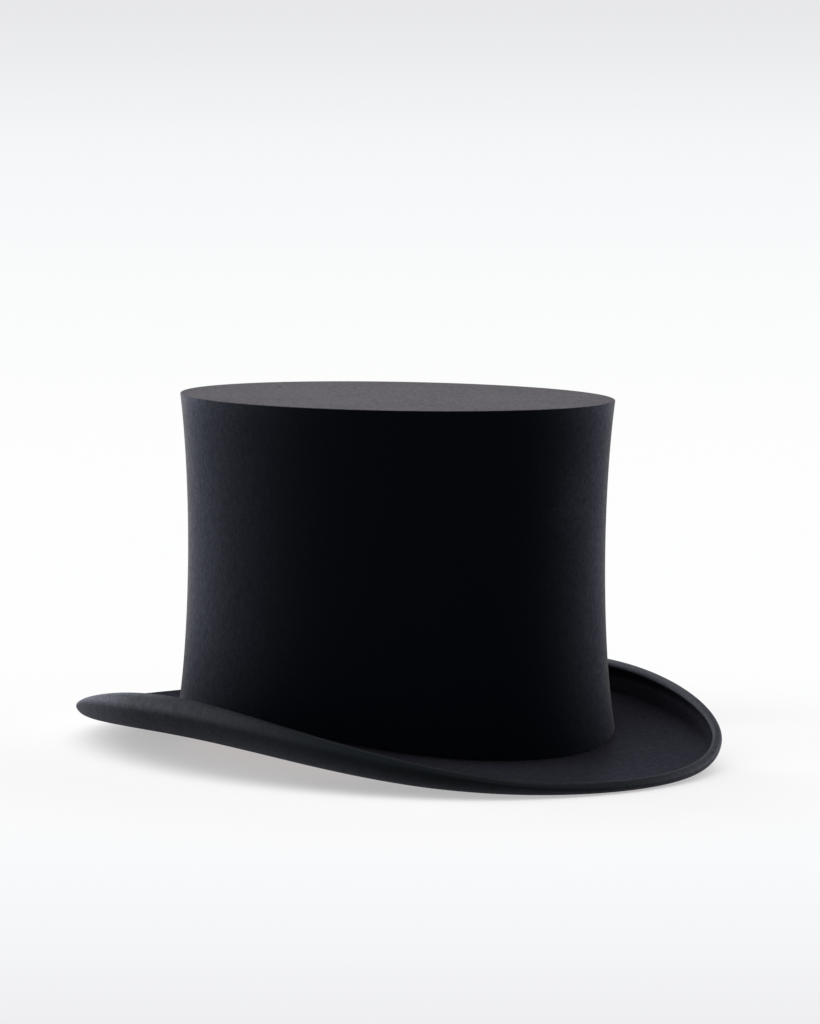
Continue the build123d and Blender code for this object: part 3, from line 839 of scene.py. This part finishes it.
def lining_wave(deg, z):
    """How far the side lining stands inwards in gathers and pleats."""
    rise = lining_rise(deg, z)
    top = max(0.0, (rise - 0.55) / 0.45)
    gather = 0.15 + 0.35 * top + 0.45 * math.sin(math.pi * min(rise * 1.15, 1.0))
    if rise < 0.30:
        gather *= rise / 0.30
    shifted = deg + 0.5 * noise_at(z * 0.06, deg * 0.02, 1.0)
    wave = gather * fold(deg, z, 3.1, 10.0) + 1.9 * top ** 1.3 * pleat(shifted)
    wave += 0.10 * noise_at(deg * 0.05, z * 0.05, 7.0) * min(rise * 3, 1)
    # drawn tight under the piped seam
    wave *= 1 - 0.97 * smoothstep((z - PIPE_Z + 4.6) / 3.6)
    return max(wave, 0.0)


def lining_section(deg):
    outer, inner = [], []
    for z in steps(seat(deg) + LINING_START, LINING_TOP, 72):
        depth = lining_depth(deg, z)
        wave = lining_wave(deg, z)
        outer.append(crown(deg, z, depth + wave * 0.85))
        inner.append(crown(deg, z, depth + SATIN + wave))
    return outer + inner[::-1]


def tip_lining_point(deg, share):
    """Point on the underside of the tip lining, at a share of its radius."""
    sin, cos = sin_cos(deg)
    x = (TIP_X - COLLAR_IN - 0.6) * share * sin
    y = -(HEAD_Y + waist(1) - COLLAR_IN - 0.6) * share * cos
    sag = 3.0 * (1 - share ** 3.2)
    folds = (0.75 * fold(deg, 40 * share, 11.0, 13.0)
             + 0.30 * fold(deg, 25 * share, 17.0, 27.0))
    gather = (max(0.0, (share - 0.50) / 0.50) ** 1.4
              * (0.35 * folds + 1.5 * pleat(deg, 2.0))
              * (1 - 0.98 * smoothstep((share - 0.93) / 0.045)))
    puff = noise_at(x * 0.045, y * 0.045, 2.0) + 0.4 * noise_at(x * 0.11, y * 0.11, 5.0)
    puff *= 0.55 * (1 - share ** 4)
    return (x, y + TIP_LEAN, TIP_LINING_Z - TIP_SATIN - sag - puff * 0.8 - gather)


def tip_lining():
    """Padded satin oval, crowned downwards and gathered towards its piped rim."""
    count, loops = segments(540), 46
    lower = [tip_lining_point(deg, 1 - (1 - i / loops) ** 1.25)
             for i in range(1, loops + 1) for deg in bearings(count)]
    lower.append((0, TIP_LEAN, tip_lining_point(0, 0)[2]))
    verts = lower + [(x, y, z + TIP_SATIN) for x, y, z in lower]
    per_side = loops * count + 1
    faces = []
    for base in (0, per_side):
        quads = []
        for first in range(base, base + (loops - 1) * count, count):
            quads += wrap_quads(first, first + count, count)
        # the smallest loop comes first, round the centre
        centre = fan(base, count, base + loops * count)
        faces += quads + flipped(centre) if base else flipped(quads) + centre
    rim = (loops - 1) * count
    faces += wrap_quads(rim, rim + per_side, count)
    uvs = [[(verts[i][0] * MM, verts[i][1] * MM) for i in face] for face in faces]
    return verts, faces, uvs


def piping_section(deg):
    """Twisted cord, ribbed by a slight change of radius."""
    x, y, _ = crown(deg, PIPE_Z, lining_depth(deg, PIPE_Z) + SATIN + PIPE_R + 0.25)
    sin, cos = sin_cos(deg)
    points = []
    for i in range(24):
        angle = 2 * math.pi * i / 24
        twist = abs(math.cos(1.5 * (angle + math.radians(deg) * 84)))
        radius = PIPE_R * (0.90 + 0.10 * twist)
        out = radius * math.cos(angle)
        points.append((x - out * sin, y + out * cos, PIPE_Z + radius * math.sin(angle)))
    return points


# ------------------------------------------------------------------ sweatband
BAND_START = REED_Z + FOLD_OUT + GAP        # above the brim's underside
BAND_MM_PER_DEG = 1.66                      # scale of the leather's U
SEAM_MM_PER_DEG = 1.44
# grooves pressed round the leather: distance from the edge, half width, depth
TOP_GROOVES = ((3.2, 0.28, 0.17), (4.6, 0.28, 0.17))
LOW_GROOVE = (3.9, 0.30, 0.12)
STITCHES, STITCH_LENGTH, STITCH_R = 120, 3.1, 0.20


def base_z(deg):
    return seat(deg) - BRIM_T


def band_wave(deg, z):
    """How far the loose upper part of the leather stands inwards."""
    sin, cos = sin_cos(deg)
    free = clamp(((z - seat(deg)) / BAND_H - 0.25) / 0.75)
    return free * (0.22 * noise_at(cos * 2.2, sin * 2.2, 4.0)
                   + 0.07 * noise_at(cos * 9, sin * 9, z * 0.03)) + 0.12 * free


def groove(distance, centre, half_width, depth):
    return depth * bell(distance - centre, half_width)


def band_section(deg):
    low, high = base_z(deg) + BAND_START, seat(deg) + BAND_H
    # butt seam at the back, drawn in a little
    from_back = abs(deg % 360 - 180) * SEAM_MM_PER_DEG
    seam = bell(from_back, 0.30) * 0.34
    lip = bell(from_back, 1.3) * 0.10
    outer, inner = [], []
    for z in steps(low + 0.25, high - 0.25, 74):
        wave = band_wave(deg, z)
        pressed = sum(groove(high - z, *row) for row in TOP_GROOVES) + groove(z - low, *LOW_GROOVE)
        roll = 0.25 * bell(high - z, 1.0)
        outer.append(crown(deg, z, BAND_OUT + wave + roll * 0.35))
        inner.append(crown(deg, z, BAND_IN + wave - pressed - seam + lip - roll * 0.4))
    wave = band_wave(deg, high)
    top_edge = [crown(deg, high - 0.06, BAND_OUT + wave + 0.22),
                crown(deg, high, BAND_OUT + wave + 0.34),
                crown(deg, high - 0.06, BAND_IN + wave - 0.24 - seam * 0.35)]
    low_edge = [crown(deg, low + 0.05, BAND_IN - 0.2 - seam * 0.5),
                crown(deg, low, BAND_IN - 0.4),
                crown(deg, low + 0.05, BAND_OUT + 0.2)]
    return outer + top_edge + inner[::-1] + low_edge


def band_bearings():
    """A section a degree, and many more across the seam at the back."""
    coarse = [deg for deg in steps(0.0, 360.0, 360)[:-1] if abs(deg - 180) > 2.6]
    return sorted(coarse + [180 + offset for offset in steps(-2.5, 2.5, 60)])


def tape_section(deg):
    """Ribbed tape, folded round the reed and carried up behind the leather."""
    base = base_z(deg)
    rib = 0.022 * math.sin(math.radians(deg) * 300)

    def round_reed(radius, angle):
        sin, cos = sin_cos(angle)
        return crown(deg, base + (REED_Z + radius * sin), REED_DEPTH - radius * cos)

    points = [round_reed(FOLD_OUT + (rib if 3 < i < 28 else 0), -260 * i / 30)
              for i in range(31)]
    points += [round_reed(FOLD_IN, -260 + 260 * i / 24) for i in range(25)]
    heights = steps(REED_Z + 0.8, REED_Z + 6.0, 8)
    points += [crown(deg, base + z, TAPE_IN) for z in heights]
    points += [crown(deg, base + z, TAPE_OUT) for z in heights[::-1]]
    return points


def tubes(paths, radius, sides=8):
    """Closed tubes with rounded ends along short paths."""
    verts, faces = [], []
    for path in paths:
        path = [Vector(point) for point in path]
        last = len(path) - 1
        base = len(verts)
        for i, point in enumerate(path):
            along = (path[min(i + 1, last)] - path[max(i - 1, 0)]).normalized()
            across = along.cross(Vector((0, 0, 1)))
            if across.length < 1e-4:
                across = along.cross(Vector((1, 0, 0)))
            across.normalize()
            upward = along.cross(across)
            width = radius * (0.55, 0.88, 1.0)[min(i, last - i, 2)]
            for j in range(sides):
                angle = 2 * math.pi * j / sides
                verts.append(tuple(point + across * (width * math.cos(angle))
                                   + upward * (width * math.sin(angle))))
        for i in range(last):
            faces += wrap_quads(base + i * sides, base + (i + 1) * sides, sides)
        faces += flipped(fan(base, sides, len(verts)))
        faces += fan(base + last * sides, sides, len(verts) + 1)
        for end, before in ((path[0], path[1]), (path[-1], path[-2])):
            verts.append(tuple(end + (end - before).normalized() * radius * 0.35))
    return verts, faces, None


def stitch_path(middle):
    """One stitch, arched over the leather's inner face."""
    path = []
    for j in range(9):
        x = (j / 8 - 0.5) * STITCH_LENGTH
        deg = middle + math.degrees(x / 92.0)
        lift = 0.30 - 0.30 * (2 * x / STITCH_LENGTH) ** 4
        z = base_z(deg) + BAND_START + 2.2 + 0.10 * (x / STITCH_LENGTH)
        path.append(crown(deg, z, BAND_IN + band_wave(deg, z) - 0.02 + lift))
    return path


# ------------------------------------------------------------------ bow and size ticket
BOW_Z = seat(180) + 9.0
RIBBON_CROSS = 9            # points across a ribbon
TICKET_DEGS = (194.3, 203.2)
TICKET_HEIGHTS = tuple(seat(198.7) + rise for rise in (16.3, 26.7))
TICKET_T = 0.13


def on_band(x, rise, depth):
    """Point x along the leather from the back, at a rise above BOW_Z, off its inner face."""
    deg = 180.0 - math.degrees(x / 83.0)
    z = BOW_Z + rise
    return crown(deg, z, BAND_IN + band_wave(deg, z) + 0.06 + depth)


def ribbon(path, widths, thick, belly):
    """Closed ribbon along (x, depth, rise) points; belly is the swell across its width."""
    verts, faces = [], []
    last = len(path) - 1
    loop = 2 * RIBBON_CROSS
    for i, (x, depth, rise) in enumerate(path):
        x0, depth0, _ = path[max(i - 1, 0)]
        x1, depth1, _ = path[min(i + 1, last)]
        length = math.hypot(x1 - x0, depth1 - depth0) or 1.0
        normal_x, normal_depth = -(depth1 - depth0) / length, (x1 - x0) / length
        across = [j / (RIBBON_CROSS - 1) - 0.5 for j in range(RIBBON_CROSS)]
        for offset, side in ((thick / 2, across), (-thick / 2, across[::-1])):
            for share in side:
                ripple = 0.5 + 0.5 * math.cos(6.0 * share * (1 + 0.4 * math.sin(i)))
                out = offset + belly * (math.cos(share * math.pi) - 0.6) * ripple
                verts.append(on_band(x + normal_x * out, rise + share * widths[i],
                                     depth + normal_depth * out))
    for i in range(last):
        faces += wrap_quads(i * loop, (i + 1) * loop, loop)
    faces.append(tuple(range(loop))[::-1])
    faces.append(tuple(last * loop + j for j in range(loop)))
    return verts, faces


def bow_loop(side):
    path, widths = [], []
    for i in range(37):
        angle = math.pi * i / 36
        # the last step's sine stays a hair above zero
        sin, cos = math.sin(angle), math.cos(angle)
        x = 1.2 + 11.2 * sin ** 0.9 * (1 + 0.03 * side)
        path.append((side * x, 0.30 + 0.95 * (1 - cos) * (0.55 + 0.45 * sin), 0.25 * side * sin))
        widths.append(2.6 + 4.6 * min(1.0, sin * 1.5))
    return ribbon(path, widths, thick=0.28, belly=0.16)


def bow_tail(side):
    path, widths = [], []
    for share in steps(0, 1, 15):
        path.append((side * (0.8 + 5.6 * share),
                     0.32 + 0.10 * math.sin(share * 6) + 0.12 * share, -1.0 - 7.6 * share))
        widths.append(2.0 + 1.6 * share)
    return ribbon(path, widths, thick=0.24, belly=0.04)


def bow_knot():
    """A short band wrapped over the middle."""
    path, widths = [], []
    for i in range(29):
        sin, cos = sin_cos(200 * i / 28 - 10)
        path.append((-2.1 * cos, 0.55 + 1.85 * max(0.0, sin) ** 0.8, 0.0))
        widths.append(4.3 + 0.5 * sin)
    return ribbon(path, widths, thick=0.34, belly=0.10)


def bow():
    parts = [bow_loop(1), bow_tail(1), bow_loop(-1), bow_tail(-1), bow_knot()]
    verts, faces = [], []
    for part_verts, part_faces in parts:
        base = len(verts)
        verts += part_verts
        faces += [tuple(i + base for i in face) for face in part_faces]
    uvs = [[(verts[i][0] * MM, verts[i][2] * MM) for i in face] for face in faces]
    return verts, faces, uvs


def ticket_point(across, rise, depth):
    """Point at shares across and up the ticket; corners are softened and one lifts."""
    (deg0, deg1), (z0, z1) = TICKET_DEGS, TICKET_HEIGHTS
    off_x, off_z = abs(across - 0.5) * 2, abs(rise - 0.5) * 2
    deg = deg0 + (deg1 - deg0) * across
    z = z0 + (z1 - z0) * rise
    if off_x > 0.9 and off_z > 0.85:
        corner = ((off_x - 0.9) / 0.1) * ((off_z - 0.85) / 0.15)
        z += (z0 + z1 - 2 * z) / (z1 - z0) * 0.5 * corner
    lift = 0.05 + 0.30 * max(0.0, across - 0.75) * 4 * max(0.0, rise - 0.6) * 2.5
    return crown(deg, z, BAND_IN + band_wave(deg, z) + lift + depth)


def ticket():
    columns, rows = 40, 24
    verts = [ticket_point(i / columns, j / rows, depth)
             for depth in (0, TICKET_T) for j in range(rows + 1) for i in range(columns + 1)]
    row = columns + 1
    per_side = row * (rows + 1)
    faces = []
    for base in (0, per_side):
        for j in range(rows):
            for i in range(columns):
                corner = base + j * row + i
                quad = (corner, corner + 1, corner + row + 1, corner + row)
                faces.append(quad if base else quad[::-1])
    rim = []
    for i in range(columns):
        rim += [(i, i + 1), (rows * row + i + 1, rows * row + i)]
    for j in range(rows):
        rim += [((j + 1) * row, j * row), (j * row + columns, (j + 1) * row + columns)]
    faces += [(start, end, end + per_side, start + per_side) for start, end in rim]
    return verts, faces, None


# ------------------------------------------------------------------ floor, light and camera
CAMERA_BEARING = math.radians(-39.536)
CAMERA_DISTANCE, CAMERA_HEIGHT = 1990.762, 282.487      # from the hat's axis, above the floor
YAW, PITCH, ROLL = math.radians(0.186), math.radians(-5.181), math.radians(0.276)
LENS, SENSOR = 164.687071, 36.0
# level directions as the camera sees the hat
FORWARD = Vector((-math.sin(CAMERA_BEARING), math.cos(CAMERA_BEARING), 0))
RIGHT = Vector((math.cos(CAMERA_BEARING), math.sin(CAMERA_BEARING), 0))
UP = Vector((0, 0, 1))

# Studio light by direction. Rows are heights above the floor (sine of the elevation), columns
# are bearings in steps of 45 degrees: 0 is straight behind the hat as the camera sees it, 90 is
# the right, 180 the camera's side.
SKY_BANDS = (0.05, 0.40, 0.75)
SKY = (
    (1.368, 0.891, 0.554, 0.031, 0.000, 0.910, 2.255, 2.592),
    (1.192, 1.048, 0.785, 0.203, 0.084, 1.156, 2.343, 2.128),
    (0.330, 0.718, 0.835, 0.690, 0.925, 1.621, 1.747, 1.028),
)
SKY_TOP = 1.167
# backdrop colour: share of the frame's height from the bottom, colour
BACKDROP = [
    (0.0, (0.862, 0.863, 0.879)), (0.06, (0.902, 0.906, 0.923)), (0.15, (0.942, 0.950, 0.960)),
    (0.32, (0.979, 0.983, 0.983)), (0.46, (0.983, 0.987, 0.987)), (0.62, (0.972, 0.982, 0.976)),
    (0.76, (0.944, 0.954, 0.961)), (0.88, (0.897, 0.904, 0.920)), (1.0, (0.800, 0.802, 0.819)),
]
FLOOR_HALF, FLOOR_Z = 90.0, -0.0004
FLOOR_GLOW = 0.425
# painted light added to the floor round the hat, on the camera's left and right, to keep the hat's
# shadow compact: distance as a share of the PAINTED_RING_OVAL, strength
PAINTED_RING_OVAL = (0.119, 0.154)
PAINTED_RING_LEFT = ((0.86, 0.0), (0.95, 0.045), (1.02, 0.09), (1.08, 0.085), (1.18, 0.055),
             (1.32, 0.028), (1.5, 0.010), (1.7, 0.0))
PAINTED_RING_RIGHT = ((0.92, 0.0), (0.97, 0.12), (1.02, 0.19), (1.10, 0.155), (1.22, 0.13),
              (1.4, 0.10), (1.6, 0.07), (1.9, 0.02), (2.15, 0.0))


def backdrop(graph):
    """Paper backdrop: palest in the middle of the frame, greyer at the top and bottom."""
    height = graph.xyz(graph.node("TexCoord").outputs["Window"])[1]
    return graph.ramp(height, BACKDROP, interpolation="CARDINAL")


def glow_and_painted_ring(graph):
    """The table's own glow, plus painted light round the hat, more on its right."""
    x, y, _ = graph.xyz(graph.node("NewGeometry").outputs["Position"])
    factor = graph.mul(graph.ellipse(x, y, *PAINTED_RING_OVAL), 0.4)
    left, right = (graph.ramp(factor, [(share * 0.4, value) for share, value in table])
                   for table in (PAINTED_RING_LEFT, PAINTED_RING_RIGHT))

    def per_radius(value):
        radius = graph.math("MAXIMUM", graph.hypot(x, y), 0.01)
        return graph.math("DIVIDE", value, radius)

    to_right = graph.map_range(per_radius(graph.sub(x, y)), 0.95, 1.30)
    front = graph.map_range(per_radius(graph.mul(y, -1.0)), 0.80, 0.98, 1.0, 0.42)
    painted_ring = graph.mul(graph.mix(to_right, left, right), front)
    return graph.add(painted_ring, FLOOR_GLOW)


def floor_material():
    """Pale table with light of its own, so that shadows on it stay soft and pale."""
    material, graph = new_material("pale_floor")
    diffuse = graph.node("BsdfDiffuse", {"Color": (0.525, 0.525, 0.528)})
    glow = graph.node("Emission", {"Color": (1.0, 0.985, 1.0), "Strength": glow_and_painted_ring(graph)},
                      name="glow")
    table = graph.node("AddShader", {0: diffuse.outputs[0], 1: glow.outputs[0]})
    # far from the hat the table runs into the backdrop without a horizon
    geometry = graph.node("NewGeometry").outputs
    level = graph.vector("MULTIPLY", geometry["Position"], (1, 1, 0))
    distance = graph.vector("LENGTH", level.outputs[0]).outputs["Value"]
    camera_ray = graph.node("LightPath").outputs["Is Camera Ray"]
    far = graph.node("Emission", {"Color": backdrop(graph)}, name="far")
    seen = graph.node("MixShader", {
        0: graph.mul(graph.map_range(distance, 0.15, 0.32), camera_ray),
        1: table.outputs[0], 2: far.outputs[0]}, name="far_mix")
    # seen from below the table is clear glass, so the inside of the hat can be looked at
    clear = graph.node("BsdfTransparent")
    graph.surface(graph.node("MixShader", {
        0: geometry["Backfacing"], 1: seen.outputs[0], 2: clear.outputs[0]}))
    return material


def stage():
    scene = bpy.context.scene
    scene.view_settings.view_transform = "Standard"
    scene.view_settings.look = "None"
    scene.view_settings.exposure = 0.0
    scene.view_settings.gamma = 1.0
    mesh = bpy.data.meshes.new("floor")
    corners = [(x * FLOOR_HALF, y * FLOOR_HALF, 0) for x, y in ((-1, -1), (1, -1), (1, 1), (-1, 1))]
    mesh.from_pydata(corners, [], [(0, 1, 2, 3)])
    floor = bpy.data.objects.new("floor", mesh)
    floor.location.z = FLOOR_Z
    scene.collection.objects.link(floor)
    mesh.materials.append(floor_material())


def camera():
    scene = bpy.context.scene
    position = Vector((math.sin(CAMERA_BEARING) * CAMERA_DISTANCE,
                       -math.cos(CAMERA_BEARING) * CAMERA_DISTANCE, CAMERA_HEIGHT)) * MM
    yawed = FORWARD * math.cos(YAW) + RIGHT * math.sin(YAW)
    yawed_right = RIGHT * math.cos(YAW) - FORWARD * math.sin(YAW)
    view = yawed * math.cos(PITCH) + UP * math.sin(PITCH)
    view_up = UP * math.cos(PITCH) - yawed * math.sin(PITCH)
    right = yawed_right * math.cos(ROLL) + view_up * math.sin(ROLL)
    up = view_up * math.cos(ROLL) - yawed_right * math.sin(ROLL)
    data = bpy.data.cameras.new("camera")
    holder = bpy.data.objects.new("camera", data)
    scene.collection.objects.link(holder)
    turn = Matrix((right, up, -view)).transposed()
    holder.matrix_world = Matrix.Translation(position) @ turn.to_4x4()
    data.sensor_fit = "VERTICAL"
    data.sensor_height = SENSOR
    data.lens = LENS
    data.clip_start = 0.05
    data.clip_end = 400
    scene.camera = holder


def lights():
    """World light from the SKY table; the camera sees the backdrop instead."""
    world = bpy.data.worlds.new("studio")
    bpy.context.scene.world = world
    world.use_nodes = True
    graph = Graph(world.node_tree)
    direction = graph.node("TexCoord").outputs["Generated"]
    behind, right, height = (graph.vector("DOT_PRODUCT", direction, tuple(axis)).outputs["Value"]
                             for axis in (FORWARD, RIGHT, UP))
    bearing = graph.mul_add(graph.math("ARCTAN2", right, behind), 1 / (2 * math.pi), 0.5)
    layers = []
    for k, row in enumerate(SKY):
        # from the camera's side, round by the left, behind and the right
        values = [(i / 8, row[(i + 4) % 8]) for i in range(9)]
        layers.append(graph.ramp(bearing, values, name="band_%d" % k))
    top = graph.node("RGB", name="top").outputs[0]
    top.default_value = (SKY_TOP, SKY_TOP, SKY_TOP, 1)
    layers.append(top)
    colour = layers[0]
    for low, high, layer in zip(SKY_BANDS, (*SKY_BANDS[1:], 1.0), layers[1:]):
        colour = graph.mix(graph.map_range(height, low, high, kind="LINEAR"), colour, layer)
    light = graph.node("Background", {"Color": colour})
    seen = graph.node("Background", {"Color": backdrop(graph)}, name="seen")
    mixed = graph.node("MixShader", {
        0: graph.node("LightPath").outputs["Is Camera Ray"],
        1: light.outputs[0], 2: seen.outputs[0]})
    graph.node("OutputWorld", {"Surface": mixed.outputs[0]})


# ------------------------------------------------------------------ build
felt_degs = bearings(FELT_SEGMENTS)
place("crown_side_cloth", ring(crown_side_section, felt_degs),
      felt_side, "crown_side_felt")
place("crown_tip_cloth", tip_disc(FELT_SEGMENTS), felt_tip, "crown_tip_felt")
place("upper_brim_cloth", ring(upper_brim_section, felt_degs),
      felt_upper, "upper_brim_felt")
place("under_brim_cloth", ring(under_brim_section, felt_degs),
      felt_under, "under_brim_felt")

dress_cad_pieces()

place("side_lining_satin", ring(lining_section, bearings(segments(660))),
      satin, "side_lining")
place("tip_lining_satin", tip_lining(), satin, "tip_lining")
place("piping_cord", ring(piping_section, bearings(segments(1440))),
      satin_dark, "lining_piping")
place("sweatband_leather_strip", ring(band_section, band_bearings(), BAND_MM_PER_DEG),
      leather, "sweatband_leather")
place("reed_tape_fold", ring(tape_section, bearings(segments(1260))),
      tape_cloth, "reed_tape")
stitches = [stitch_path(360 * (i + 0.5) / STITCHES) for i in range(STITCHES)]
place("running_stitch", tubes(stitches, STITCH_R), thread, "sweatband_stitching")
place("bow_ribbon", bow(), satin_dark, "sweatband_bow")
place("size_ticket", ticket(), paper, "size_label")

stage()
camera()
lights()
